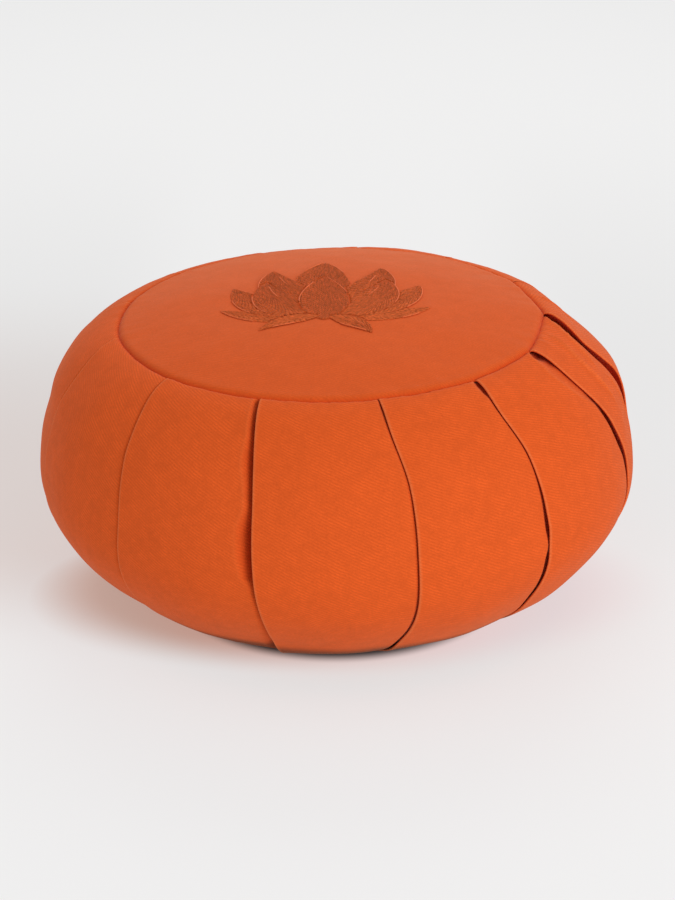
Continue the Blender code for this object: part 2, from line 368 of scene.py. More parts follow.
def creases_at(name, share, width):
    """Where the creases of a panel lie at a share, and how high they stand there."""
    found = []
    for crease in CREASES:
        if crease.fold == name:
            part = (share - crease.start) / (crease.stop - crease.start)
            at = crease.start_at + (crease.stop_at - crease.start_at) * min(max(part, 0), 1)
            high = crease.height * ease(part / 0.15) * ease((1.0 - part) / 0.4)
            found.append((at * width, float(high)))
    return found


def gathered_steps(start, stop, count, creases):
    """Places from start to stop, closer together beside the creases."""
    fine = np.linspace(start, stop, 300)
    crowd = np.ones(len(fine))
    for at, _ in creases:
        crowd += 5.0 * np.exp(-(((fine - at) / 1.6) ** 2))
    total = np.concatenate([[0.0], np.cumsum((crowd[1:] + crowd[:-1]) / 2)])
    return np.interp(np.linspace(0.0, total[-1], count), total, fine)


def cloth_across(width, here, after, swell, closing, count, creases=()):
    """Points of the cloth from one fold's back to the next's.

    For each: how far along it lies, how high, how much paler it is painted (part wear,
    part painted highlight), and how much painted shade it gets inside a fold.
    """
    proud, deep, _, _ = (value * closing for value in here)
    _, after_deep, after_wide, _ = (value * closing for value in after)
    crisp = after[3]
    tuck = TUCK * closing
    after_wide = max(after_wide, 0.8)
    thick = min(FOLD_THICK, 0.62 * (proud + deep))
    nose_reach = min(NOSE_REACH, 0.7 * thick)
    nose_middle = proud - thick / 2

    def drop_of(along):
        left = np.clip(1.0 - (width - along) / after_wide, 0.0, 1.0)
        return after_deep * ((1.0 - crisp) * left**2 + crisp * left)

    def pressed_at(along):
        lines = sum(high * np.exp(-np.abs(along - at) / RIDGE_REACH) for at, high in creases)
        edge = RIDGE * crisp * np.exp(-(((width - along - after_wide) / RIDGE_REACH) ** 2))
        return lines + edge

    def top_of(along):
        lip = proud * np.exp(-along / LIP_REACH)
        crown = swell * np.sin(np.pi * np.clip(along / width, 0.0, 1.0))
        return lip - drop_of(along) + crown + pressed_at(along)

    under_along = tuck + (nose_reach - tuck) * UNDER_STEPS
    under_end = nose_middle - thick / 2
    under_start = -deep - TUCK_FALL * tuck
    under_lift = under_start + (under_end - under_start) * UNDER_STEPS
    nose_along = nose_reach * (1.0 + np.cos(NOSE_TURNS))
    nose_lift = nose_middle + thick / 2 * np.sin(NOSE_TURNS)
    roll = width - after_wide * ROLL_STEPS
    middle = gathered_steps(PANEL_START, roll[0] - 2.0, count, creases)
    top_along = np.concatenate([LIP_STEPS, middle, roll])
    floor_along = np.array([width + 0.02, width + tuck * 0.5 + 0.04])
    floor_lift = np.array([-after_deep, -after_deep - 0.03 * tuck])
    along = np.concatenate([under_along, nose_along, top_along, floor_along])
    lift = np.concatenate([under_lift, nose_lift, top_of(top_along), floor_lift])
    # Pressed lines are painted paler along their tops: part wear, part painted highlight.
    top_worn_and_lit = np.clip(PRESSED_WEAR_AND_HIGHLIGHT * pressed_at(top_along), 0.0, PRESSED_WEAR_AND_HIGHLIGHT)
    top_worn_and_lit[: len(LIP_WEAR_AND_HIGHLIGHT)] = LIP_WEAR_AND_HIGHLIGHT
    # Painted shade on the cloth as it sinks in beside the next fold.
    top_shade = np.clip(drop_of(top_along) / FULL_SHADE_DEPTH, 0.0, 1.0)
    worn_and_lit = np.concatenate([np.zeros(len(UNDER_STEPS)), NOSE_WEAR_AND_HIGHLIGHT, top_worn_and_lit, np.zeros(2)])
    inside = np.concatenate([np.ones(len(UNDER_STEPS)), NOSE_SHADE, top_shade, np.ones(2)])
    return along, lift, worn_and_lit, inside


def steps_for(name):
    """How many points a panel needs between its two folds."""
    if any(crease.fold == name for crease in CREASES):
        return CREASED_STEPS
    return BACK_STEPS if "back" in name else PANEL_STEPS


print({fold.name: steps_for(fold.name) for fold in FOLDS})

# %% [markdown]
# ## Sewn cloth is never even
# Three kinds of unevenness go on every point: slow lumps from the filling, small
# puckers that run out of the seams, and the wander of a fold that was pressed by hand.
# Smooth noise read at each point's own place in space does all three, and gives the
# same cushion every time the file runs.

# %% Make the lumps, puckers and wander
LUMPS = 0.8  # how far the filling pushes the cloth about, in millimetres
PUCKERS = 0.7  # how deep the gathers at a seam are
PUCKER_REACH = 9.0  # how far they run out of it
SLOW_LUMP = 46.0  # about how far apart the broad and the small lumps lie
QUICK_LUMP = 17.0
BROAD_GATHER = 15.0  # the larger, the closer together the gathers lie round a seam
FINE_GATHER = 34.0
WAVE_REACH = 14.0  # how far down the strip the wander of the top seam is felt


def lumps_at(x, y, z):
    """Slow unevenness of the filling at a place given in millimetres."""
    place = Vector((x, y, z))
    slow = noise.noise(place / SLOW_LUMP)
    quick = noise.noise(place / QUICK_LUMP + Vector((40.0, 0.0, 0.0)))
    return LUMPS * (slow + 0.3 * quick)


def pucker_at(azimuth, reach, side_key):
    """The gathers beside a seam, at an azimuth and a distance from the seam."""
    turn = math.radians(azimuth)
    way = Vector((math.cos(turn), math.sin(turn), 0.0))
    broad = noise.noise(way * BROAD_GATHER + Vector((0.0, 0.0, side_key)))
    fine = noise.noise(way * FINE_GATHER + Vector((0.0, 0.0, side_key + 9.0)))
    return PUCKERS * (broad + 0.6 * fine) * math.exp(-reach / PUCKER_REACH)


def seam_wave(azimuth):
    """How far out of its circle the top seam lies at an azimuth, in millimetres."""
    turns = [fold.top for fold in FOLDS]
    index = int(np.searchsorted(turns, (azimuth - turns[0]) % 360.0 + turns[0])) - 1
    index = max(index, 0)
    one, two = FOLDS[index], FOLDS[(index + 1) % len(FOLDS)]
    part = ((azimuth - one.top) % 360.0) / ((two.top - one.top) % 360.0)
    straight = one.corner + (two.corner - one.corner) * part
    turn = math.radians(azimuth)
    wander = 0.35 * noise.noise(Vector((math.cos(turn) * 5.0, math.sin(turn) * 5.0, 2.0)))
    return straight - 4.0 * one.sag * part * (1.0 - part) + wander


# A place where the whole cushion is pushed in or out: its azimuth, its share of the
# strip's length, how far it reaches in degrees and in share, and by how much.
DENTS = table(
    "azimuth share turn reach depth",
    (103.0, 0.12, 13.0, 0.05, -2.2),
    (99.0, 0.27, 14.0, 0.07, 2.4),
    (82.0, 0.58, 16.0, 0.16, 1.1),
    (53.0, 0.80, 11.0, 0.08, 1.5),
    (22.0, 0.95, 9.0, 0.05, -1.4),
    (-88.0, 0.33, 16.0, 0.07, -1.9),
    (-92.0, 0.15, 16.0, 0.06, 1.0),
    (-90.0, 0.58, 16.0, 0.10, 1.0),
    (162.0, 0.05, 12.0, 0.06, 1.4),
)


def dent_at(azimuth, share):
    """How far the dents push the cloth out at a place, in millimetres."""
    total = 0.0
    for dent in DENTS:
        away = (azimuth - dent.azimuth + 180.0) % 360.0 - 180.0
        if abs(away) < 3 * dent.turn:
            down = (share - dent.share) / dent.reach
            total += dent.depth * math.exp(-((away / dent.turn) ** 2) - down**2)
    return total


print("seam pulled in by up to", round(-min(seam_wave(a) for a in range(360)), 2), "mm")

# %% [markdown]
# ## Put the top seam where it really is
# The cushion has been sat on. Its top seam has slid to the left and tips down on that
# side, so every point is slid and tipped with it, fully at the top and not at all from
# the waist down.

# %% Slide and tip a point
TOP_SHIFT_X = -3.3
TOP_SHIFT_Y = 0.2
TOP_TILT_X = 0.0183
TOP_TILT_Y = 0.0054
MIDDLE_X = 0.25
MIDDLE_Y = -0.09
SINK = 2.1  # how far the cloth turns down into a seam
SINK_REACH = 1.1
SEAM_SHADE_REACH = 0.7  # how far from a seam the painted shade beside it reaches
SEAM_SHADE = 0.6  # and how strong that painted shade is
BASE_SHADE_FROM = 0.82  # the share of the strip from which its foot gets painted shade near the floor
BASE_SHADE_REACH = 0.07


def seen_from_above(radius, azimuth):
    """How far right and back a point lies, from its radius and azimuth."""
    turn = math.radians(azimuth)
    return radius * math.sin(turn), -radius * math.cos(turn)


def place_at(radius, azimuth, height, top_share):
    """A point in metres from a radius and height in millimetres and an azimuth."""
    x, y = seen_from_above(radius, azimuth)
    z = height + top_share * (TOP_TILT_X * x + TOP_TILT_Y * y)
    x += top_share * TOP_SHIFT_X - MIDDLE_X
    y += top_share * TOP_SHIFT_Y - MIDDLE_Y
    return x * MM, y * MM, z * MM


print("middle of the top seam", [round(v, 4) for v in place_at(0.0, 0.0, TOP_SEAM.height, 1.0)])

# %% [markdown]
# ## Make the pleated strip
# The strip is a grid: rows from seam to seam, points round each row. Rows crowd
# together near the seams, where the cloth turns fastest. A few extra rows inside each
# seam carry the edge in behind the round panels, and a fan of triangles closes it.
# Each point also keeps its place in the flat cloth, in metres, as a UV map, so the
# weave later follows the panels and bends with them.

# %% Work out the rows of the strip
ROW_COUNT = 118
EDGE_ROWS = ((-3.6, -4.0), (-1.8, -2.6), (-0.5, -1.2))  # in from the seam, and behind it
DENT_EDGE = 5.0  # how near a seam a dent fades out
PANEL_CLOTH = 0.12  # from one panel's middle to the next in the flat cloth, in metres


def side_at(share):
    """Radius, height and the outward direction of the outline at a share of it."""
    reach = share * SIDE_LENGTH
    radius = np.interp(reach, side_along, side[:, 0])
    height = np.interp(reach, side_along, side[:, 1])
    run = np.interp(reach, side_along, side_slope[:, 0])
    drop = -np.interp(reach, side_along, side_slope[:, 1])
    size = math.hypot(run, drop)
    return radius, height, drop / size, run / size


def strip_row(share, inset=0.0, behind=0.0):
    """One row of points, with each one's place in the flat cloth, its paler paint of wear and
    highlight, and its painted shade.
    """
    radius, height, out, up = side_at(share)
    end = 1.0 if share < 0.5 else -1.0
    radius += inset
    height += end * behind
    top_share = float(ease(1.0 - share / 0.5))
    edge = min(share, 1.0 - share) * SIDE_LENGTH
    sink = SINK * math.exp(-edge / SINK_REACH)
    closing = 1.0 - inset / EDGE_ROWS[0][0]
    swell_here = float(ease(share / 0.2) * ease((1.0 - share) / 0.14))
    # Painted shade on the cloth beside a seam.
    seam_shade = SEAM_SHADE * math.exp(-edge / SEAM_SHADE_REACH)
    # Painted shade on the foot of the strip, darker towards the floor.
    base_shade = float(ease((share - BASE_SHADE_FROM) / BASE_SHADE_REACH))
    points, cloth, wear_and_highlight, painted_shade, painted_base_shade = [], [], [], [], []
    for index, fold in enumerate(FOLDS):
        after = FOLDS[(index + 1) % len(FOLDS)]
        start = fold_azimuth(fold, share)
        stop = fold_azimuth(after, share) + (360.0 if index == len(FOLDS) - 1 else 0.0)
        width = math.radians(stop - start) * radius
        along, lift, worn_and_lit, inside = cloth_across(
            width,
            mouth_at(fold.name, share),
            mouth_at(after.name, share),
            fold.swell * swell_here,
            closing,
            steps_for(fold.name),
            creases_at(fold.name, share, width),
        )
        for a, n in zip(along, lift):
            azimuth = start + math.degrees(a / radius)
            x, y = seen_from_above(radius, azimuth)
            n += lumps_at(x, y, height) * (0.25 + 0.75 * swell_here) - sink
            n += pucker_at(azimuth, edge, 1.0 if end > 0 else 5.0)
            n += dent_at(azimuth, share) * (1.0 - math.exp(-edge / DENT_EDGE))
            inward = seam_wave(azimuth) * math.exp(-edge / WAVE_REACH) if end > 0 else 0.0
            out_to = radius + inward + out * n
            points.append(place_at(out_to, azimuth, height + up * n, top_share))
            cloth.append((index * PANEL_CLOTH + (a - width / 2) * MM, -share * SIDE_LENGTH * MM))
        wear_and_highlight.extend(worn_and_lit.tolist())
        painted_shade.extend(np.maximum(inside, seam_shade).tolist())
        painted_base_shade.extend([base_shade] * len(along))
    return points, cloth, wear_and_highlight, painted_shade, painted_base_shade


print("a row holds", len(strip_row(0.5)[0]), "points")

# %% Build a closed mesh from loops of points


def new_piece(name, points, faces, values):
    """A smooth mesh that rides on the cushion, with labelled values for its points."""
    mesh = bpy.data.meshes.new(name)
    mesh.from_pydata(points, [], faces)
    for label, numbers in values.items():
        mesh.attributes.new(label, "FLOAT", "POINT").data.foreach_set("value", numbers)
    mesh.shade_smooth()
    piece = add_object(name, mesh)
    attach(piece, "root")
    print(name, len(points), "points", sum(len(face) - 2 for face in faces), "triangles")
    return piece


def piece_from_loops(name, rows, tip_first, tip_last):
    """A closed, smooth mesh of loops of equal length with a point at each end."""
    count = len(rows[0][0])
    last = 1 + count * len(rows)
    faces = []
    for row in range(len(rows) - 1):
        for n in range(count):
            a = 1 + row * count + n
            b = 1 + row * count + (n + 1) % count
            faces.append((a, a + count, b + count, b))
    for n in range(count):
        faces.append((0, 1 + n, 1 + (n + 1) % count))
        end = last - count
        faces.append((last, end + (n + 1) % count, end + n))

    def joined(part, first, final):
        return [first, *(value for row in rows for value in row[part]), final]

    # Paler paint of wear and highlight, painted shade in folds and seams, and painted shade near
    # the floor.
    labels = ("wear_and_highlight", "inside", "painted_base_shade")
    values = {label: joined(2 + k, 0.0, 0.0) for k, label in enumerate(labels)}
    piece = new_piece(name, joined(0, tip_first, tip_last), faces, values)
    layer = piece.data.uv_layers.new(name="cloth")
    corners = np.empty(len(piece.data.loops), dtype=np.int32)
    piece.data.loops.foreach_get("vertex_index", corners)
    flat = np.array(joined(1, (0.0, 0.0), (0.0, 0.0)), dtype=np.float32)
    layer.data.foreach_set("uv", flat[corners].ravel())
    return piece


# %% Build the strip
steps = np.linspace(0.0, 1.0, ROW_COUNT)
shares = steps - 0.5 * np.sin(2 * np.pi * steps) / (2 * np.pi)
strip_rows = [strip_row(0.0, *edge) for edge in EDGE_ROWS]
strip_rows += [strip_row(float(share)) for share in shares]
strip_rows += [strip_row(1.0, *edge) for edge in reversed(EDGE_ROWS)]
band = piece_from_loops(
    "pleated_strip",
    strip_rows,
    place_at(0.0, 0.0, 178.0, 1.0),
    place_at(0.0, 0.0, 4.0, 0.0),
)
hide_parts("pleated_band")

# %% [markdown]
# ## Make the round panels
# A round panel is one disc of twill. The filling lifts the upper one into a low crown,
# and near its rim the seam pulls it down into a crease. The lower one is pressed flat
# by the floor and only turns up at its edge.
# Each is a thin closed sheet: rings out to the rim on the outside, and back again on
# the inside.

# %% Shape the crown and the underside
CROWN = 14.0
PANEL_GAP = 0.45
SHEET = 1.2
EDGE_ROLL = 0.3  # how far the turned-in edge lifts the cloth beside the seam
FLAT_RADIUS = 84.0


def crown_height(radius):
    """Height of the upper panel above the floor at a radius, in millimetres."""
    rim = TOP_SEAM.radius - PANEL_GAP
    dome = CROWN * (1.0 - (radius / TOP_SEAM.radius) ** 2.2)
    return TOP_SEAM.height + dome - SINK * math.exp(-(rim - radius) / SINK_REACH)


def base_height(x, y):
    """Height of the underside at a place: flat, then turned up to its seam."""
    radius = math.hypot(x, y)
    if radius <= FLAT_RADIUS:
        return 0.0
    share = (radius - FLAT_RADIUS) / (BASE_SEAM.radius - FLAT_RADIUS)
    return (BASE_SEAM.height - 0.6) * share**1.25


# %% Build the upper panel
PANEL_TURNS = 400
PANEL_RINGS = 44
top_rim = TOP_SEAM.radius - PANEL_GAP
base_rim = BASE_SEAM.radius - PANEL_GAP
ring_steps = np.linspace(0.06, 1.0, PANEL_RINGS)
ring_radii = top_rim * (ring_steps + 0.30 * np.sin(np.pi * ring_steps) / np.pi)


def top_height(x, y):
    """Height of the upper panel over a place given from its middle, in millimetres."""
    radius = math.hypot(x, y)
    azimuth = math.degrees(math.atan2(x, -y))
    near = math.exp(-max(top_rim - radius, 0.0) / 20.0)
    lift = lumps_at(x, y, 300.0) * (1.0 - 0.6 * near)
    lift += pucker_at(azimuth, top_rim - radius, 3.0) * 0.6
    lift += EDGE_ROLL * math.exp(-(((top_rim - radius - 3.0) / 2.2) ** 2))
    return crown_height(radius) + lift


def panel_ring(radius, height_of, top_share, drop=0.0):
    """One ring of a round panel, with each point's place in the flat cloth and its painted shade.
    """
    points, cloth = [], []
    for n in range(PANEL_TURNS):
        azimuth = 360.0 * n / PANEL_TURNS
        x, y = seen_from_above(radius, azimuth)
        inward = seam_wave(azimuth) * (radius / top_rim) ** 6 if top_share else 0.0
        points.append(place_at(radius + inward, azimuth, height_of(x, y) - drop, top_share))
        cloth.append((x * MM, y * MM))
    rim = top_rim if top_share else base_rim
    # Painted shade on the panel beside its seam.
    painted_shade = SEAM_SHADE * math.exp(-(rim - radius) / SEAM_SHADE_REACH)
    # The lower panel faces the floor and gets painted shade all over.
    base_shade = 0.0 if top_share else 0.8
    return points, cloth, *([value] * PANEL_TURNS for value in (0.0, painted_shade, base_shade))


def round_panel(name, outside, inside, height_of, top_share, sheet):
    """A disc of cloth: rings out to the rim on its outside and back on its inside."""
    rows = [panel_ring(radius, height_of, top_share) for radius in outside]
    rows.append(panel_ring(outside[-1], height_of, top_share, sheet * 0.7))
    rows += [panel_ring(radius, height_of, top_share, sheet) for radius in inside]
    middle = height_of(0.0, 0.0)
    tips = [place_at(0.0, 0.0, middle - drop, top_share) for drop in (0.0, sheet)]
    return piece_from_loops(name, rows, *tips)


inner_radii = (top_rim - 1.0, 118.0, 96.0, 64.0, 32.0)
top = round_panel("upper_panel", ring_radii, inner_radii, top_height, 1.0, SHEET)
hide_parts("top_panel")

# %% Build the lower panel
outer_radii = (30.0, 60.0, FLAT_RADIUS, 87.0, 91.0, 95.0, 99.0, 103.0, 107.0, 110.5, base_rim)
inner_radii = (base_rim - 1.5, 104.0, FLAT_RADIUS, 44.0)
base = round_panel("lower_panel", outer_radii, inner_radii, base_height, 0.0, -SHEET)
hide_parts("bottom_panel")

# %% [markdown]
# ## The weave
# Twill is woven so that each thread steps one place over from the last, which makes
# fine diagonal ribs. All three pieces of cloth need it, so it is one node group that
# reads the flat cloth's coordinates and gives a height for the bump and a mask of the
# rib tops. Building it from plain waves keeps it sharp at any size, with no picture.

# %% Write a helper for node trees


class Nodes:
    """Adds nodes to a tree and joins them, so each material reads as a recipe."""

    def __init__(self, tree):
        self.tree = tree

    def feed(self, inputs, values):
        """Join each value that is a node's output to its input, and set the others there."""
        for key, value in values.items():
            if isinstance(value, bpy.types.NodeSocket):
                self.tree.links.new(value, inputs[key])
            else:
                inputs[key].default_value = value

    def add(self, kind, values=(), **settings):
        """A new node with its settings and inputs."""
        node = self.tree.nodes.new("ShaderNode" + kind)
        for name, value in settings.items():
            setattr(node, name, value)
        self.feed(node.inputs, dict(values))
        return node

    def math(self, operation, one, two=0.0, three=0.5):
        values = {0: one, 1: two, 2: three}
        return self.add("Math", values, operation=operation).outputs[0]

    def times(self, one, two):
        return self.math("MULTIPLY", one, two)

    def plus(self, one, two):
        return self.math("ADD", one, two)

    def less(self, one, two):
        return self.math("SUBTRACT", one, two)

    def wave(self, phase):
        """0 to 1 and back, once for each whole step of the phase."""
        return self.math("MULTIPLY_ADD", self.math("SINE", self.times(phase, math.tau)), 0.5)

    def noise(self, place, scale, detail, roughness):
        """Smooth noise from 0 to 1, read at a place."""
        values = {"Vector": place, "Scale": scale, "Detail": detail, "Roughness": roughness}
        return self.add("TexNoise", values).outputs["Fac"]

    def attribute(self, name):
        """A value that each point of the mesh carries."""
        return self.add("Attribute", attribute_name=name).outputs["Fac"]

    def mix(self, share, one, two):
        """A colour that goes from one to two with a share."""
        return self.add("Mix", {0: share, 6: one, 7: two}, data_type="RGBA").outputs[2]

    def scaled(self, color, share):
        """A colour or a vector times a number."""
        values = {0: color, "Scale": share}
        return self.add("VectorMath", values, operation="SCALE").outputs[0]

    def combined(self, operation, one, two=(0.0, 0.0, 0.0), output=0):
        """Two vectors combined: their product, say, or the distance between them."""
        values = {0: one, 1: two}
        return self.add("VectorMath", values, operation=operation).outputs[output]

    def fade(self, value, start, stop, one, two):
        """A smooth change from one to two while a value goes from start to stop."""
        values = {"Value": value, 1: start, 2: stop, 3: one, 4: two}
        return self.add("MapRange", values, interpolation_type="SMOOTHSTEP").outputs[0]


def new_material(name):
    """A new material, a helper for its nodes and the inputs of its shader."""
    material = bpy.data.materials.new(name)
    material.use_nodes = True
    tree = material.node_tree
    return material, Nodes(tree), tree.nodes["Principled BSDF"].inputs


def group_with(name, inputs, outputs):
    """A new shader node group with named sockets: its tree, inputs and outputs."""
    tree = bpy.data.node_groups.new(name, "ShaderNodeTree")
    for label, kind, value in inputs:
        socket = tree.interface.new_socket(label, in_out="INPUT", socket_type="NodeSocket" + kind)
        if value is not None:
            socket.default_value = value
    for label, kind in outputs:
        tree.interface.new_socket(label, in_out="OUTPUT", socket_type="NodeSocket" + kind)
    given = tree.nodes.new("NodeGroupInput").outputs
    return Nodes(tree), given, tree.nodes.new("NodeGroupOutput").inputs


# %% Weave the twill
WARP_STEP = 0.62  # from one thread to the next, along and across, in millimetres
WEFT_STEP = 0.55
nodes, given, result = group_with(
    "twill_weave",
    (
        ("Cloth", "Vector", None),
        ("Rib spacing mm", "Float", 1.7),
        ("Rib slope", "Float", 27.0),
        ("Slub", "Float", 1.3),
    ),
    (("Height", "Float"), ("Ribs", "Float")),
)
in_mm = nodes.scaled(given["Cloth"], 1.0 / MM)
parts = nodes.add("SeparateXYZ", {0: in_mm}).outputs
slubs = nodes.noise(in_mm, 0.14, 4.0, 0.65)
lint = nodes.noise(in_mm, 1.1, 2.0, 0.6)
slope = nodes.math("RADIANS", given["Rib slope"])
across = nodes.plus(
    nodes.times(parts["Y"], nodes.math("COSINE", slope)),
    nodes.times(parts["X"], nodes.math("SINE", slope)),
)
phase = nodes.math("DIVIDE", across, given["Rib spacing mm"])
rib = nodes.wave(nodes.plus(phase, nodes.times(slubs, given["Slub"])))
warp = nodes.wave(nodes.math("DIVIDE", parts["X"], WARP_STEP))
weft = nodes.wave(nodes.math("DIVIDE", parts["Y"], WEFT_STEP))
firm = {"Value": slubs, 1: 0.38, 2: 0.62, 3: 0.15, 4: 0.75}
firm = nodes.add("MapRange", firm).outputs[0]
ribs = nodes.times(rib, firm)
height = nodes.plus(ribs, nodes.times(nodes.times(warp, weft), 0.25))
height = nodes.plus(height, nodes.times(lint, 0.9))
nodes.feed(result, {"Height": height, "Ribs": ribs})
twill_weave = nodes.tree

# %% [markdown]
# ## Dyed cotton, with painted shade and highlight
# Dyed cotton isn't one flat colour. The troughs between the ribs get painted shade, and
# the dye takes a little unevenly. Along a pressed fold the cloth is painted paler, part
# wear and part painted highlight. Deep in a fold and beside a seam it gets painted shade
# in a deeper red, and the foot of the strip and the lower panel get painted shade near
# the floor. Each point of the mesh already carries a value for each of these three.
# All of it is a second node group, used by every piece of cloth. Short loose fibres also
# stand up all over it and make it pale when it is seen at a low angle, and that is the
# shader's own sheen.

# %% Mix the dye
BASE_SHADE_DARK = 0.68  # how much darker the painted shade near the floor makes the cloth
nodes, given, result = group_with(
    "dyed_cotton",
    (
        ("Cloth", "Vector", None),
        ("Dye", "Color", (0.7, 0.1, 0.02, 1.0)),
        ("Worn and lit dye", "Color", (0.86, 0.23, 0.075, 1.0)),
        ("Wear and highlight", "Float", 0.0),
        ("Inside", "Float", 0.0),
        ("Painted shade dye", "Color", (0.62, 0.052, 0.006, 1.0)),
        ("Painted base shade", "Float", 0.0),
        ("Ribs", "Float", 0.5),
        ("Trough shade", "Float", 0.27),
        ("Unevenness", "Float", 0.5),
    ),
    (("Color", "Color"),),
)
patches = nodes.noise(given["Cloth"], 42.0, 5.0, 0.62)
flecks = nodes.noise(given["Cloth"], 780.0, 2.0, 0.7)
patchy = nodes.less(nodes.plus(nodes.times(patches, 0.3), nodes.times(flecks, 0.7)), 0.5)
patchy = nodes.times(patchy, given["Unevenness"])
# Painted shade in the troughs between the ribs.
troughs = nodes.times(nodes.less(given["Ribs"], 0.25), given["Trough shade"])
bright = nodes.plus(nodes.plus(patchy, troughs), 1.0)
# Painted shade near the floor.
bright = nodes.times(bright, nodes.less(1.0, nodes.times(given["Painted base shade"], BASE_SHADE_DARK)))
# Painted shade inside folds and beside seams, in a deeper red.
dyed = nodes.scaled(nodes.mix(given["Inside"], given["Dye"], given["Painted shade dye"]), bright)
# Paler along fold edges and pressed lines: part wear, part painted highlight.
rubbed_and_lit = nodes.times(given["Wear and highlight"], nodes.times(flecks, 1.1))
nodes.feed(result, {"Color": nodes.mix(rubbed_and_lit, dyed, given["Worn and lit dye"])})
dyed_cotton = nodes.tree

# %% Put weave and dye on the cloth
ORANGE = (0.74, 0.103, 0.0152)
SHEEN_TINT = (1.0, 0.64, 0.4, 1.0)


def cotton_twill(name, shaded_dye_share=1.0, sheen=0.16, troughs=0.27, depth=0.11):
    """Orange cotton twill: its dye scaled by a share, below 1 as painted shade, and its own sheen,
    rib shade and depth in mm.
    """
    material, nodes, shader = new_material(name)
    cloth = nodes.add("UVMap", uv_map="cloth").outputs[0]
    weave = nodes.add("Group", {"Cloth": cloth}, node_tree=twill_weave).outputs
    dye = {
        "Cloth": cloth,
        "Dye": (*(shaded_dye_share * value for value in ORANGE), 1.0),
        "Wear and highlight": nodes.attribute("wear_and_highlight"),
        # Painted shade in folds and at seams.
        "Inside": nodes.attribute("inside"),
        "Painted base shade": nodes.attribute("painted_base_shade"),
        "Ribs": weave["Ribs"],
        "Trough shade": troughs,
    }
    dyed = nodes.add("Group", dye, node_tree=dyed_cotton).outputs["Color"]
    raised = {"Strength": 1.0, "Distance": depth * MM, "Height": weave["Height"]}
    look = {
        "Base Color": dyed,
        "Normal": nodes.add("Bump", raised).outputs["Normal"],
        "Roughness": 0.92,
        "Specular IOR Level": 0.12,
        "Sheen Weight": sheen,
        "Sheen Roughness": 0.35,
        "Sheen Tint": SHEEN_TINT,
    }
    nodes.feed(shader, look)
    return material


# Painted shade: the upper panel's dye is a little darker than the strip's, and its sheen is
# stronger.
upper_twill = cotton_twill("upper_twill", shaded_dye_share=0.95, sheen=0.26, troughs=0.14, depth=0.09)
band.data.materials.append(cotton_twill("strip_twill"))
top.data.materials.append(upper_twill)
base.data.materials.append(cotton_twill("lower_twill"))

# %% [markdown]
# ## The embroidered lotus
# A lotus in brown thread lies on the upper panel. Each petal is filled with rows of
# short stitches that run along it, and each row starts a little past its neighbour's,
# so the filling looks like brown speckle. Paler stem stitch lies over some edges.
# A picture of a flower would look flat from the side, so each stitch is a real thread
# here: a low arch with its two ends in the cloth. The petals come from a short table,
# drawn for this cushion, with the hindmost first. A stitch stops where a nearer petal
# covers it.

# %% Draw the petals
PETALS = table(
    "base_x base_y tip_x tip_y bend width",
    (-11.0, -31.0, -66.0, -11.0, 6.0, 15.0),
    (5.0, -31.0, 60.0, -13.0, -6.0, 15.0),
    (-11.0, -27.0, -59.0, 25.0, 10.0, 24.0),
    (5.0, -27.0, 54.0, 25.0, -10.0, 24.0),
    (-4.0, -14.0, -3.0, 71.0, 2.0, 35.0),
    (-9.0, -18.0, -35.0, 57.0, 8.0, 28.0),
    (3.0, -18.0, 31.0, 57.0, -8.0, 28.0),
    (-8.0, -31.0, -39.0, 31.0, 10.0, 28.0),
    (1.0, -31.0, 33.0, 33.0, -10.0, 28.0),
    (-4.0, -37.0, -4.0, 38.0, 0.0, 30.0),
    (-7.0, -32.0, -42.0, -47.0, -4.0, 12.0),
    (-1.0, -33.0, 24.0, -54.0, 4.0, 14.0),
)


def unit(ways):
    """The same ways, each one long."""
    return ways / np.linalg.norm(ways, axis=-1, keepdims=True)


def petal_spine(petal, s):
    """Places along a petal's middle, and the way across it, for shares s."""
    base = np.array((petal.base_x, petal.base_y))
    reach = np.array((petal.tip_x, petal.tip_y)) - base
    size = np.linalg.norm(reach)
    side_way = np.array((-reach[1], reach[0])) / size
    s = np.asarray(s, float)[..., None]
    middle = base + reach * s + side_way * petal.bend * 4.0 * s * (1.0 - s)
    way = unit(reach + side_way * petal.bend * 4.0 * (1.0 - 2.0 * s))
    return middle, np.stack([-way[..., 1], way[..., 0]], axis=-1), size


def petal_half(petal, s):
    """Half the width of a petal: round low down and drawn out to its tip."""
    s = np.clip(s, 0.0, 1.0)
    return petal.width / 2 * np.sin(np.pi * s**0.8) ** 0.85


def inside_petal(petal, places, margin):
    """Whether each place lies on a petal or nearer to it than a margin."""
    s = np.linspace(0.0, 1.0, 60)
    middle, _, _ = petal_spine(petal, s)
    away = np.linalg.norm(places[:, None, :] - middle[None, :, :], axis=2)
    nearest = away.argmin(axis=1)
    half = petal_half(petal, s[nearest])
    within = away[np.arange(len(places)), nearest] < half + margin
    return within & (nearest > 0) & (nearest < 59)


print(len(PETALS), "petals, the longest", round(max(petal_spine(p, 0)[2] for p in PETALS)), "mm")

# %% Lay a thread on the cloth
THREAD = 0.5  # thickness of the filling thread, in millimetres
STITCH_STEP = 1.1  # how far apart a thread's points lie
STITCH_ARCH = 0.36  # how high the middle of a stitch stands


def on_cloth(x, y, lift):
    """A point in metres above a place on the upper panel given in millimetres."""
    azimuth = math.degrees(math.atan2(x, -y))
    return place_at(math.hypot(x, y), azimuth, top_height(x, y) + lift, 1.0)


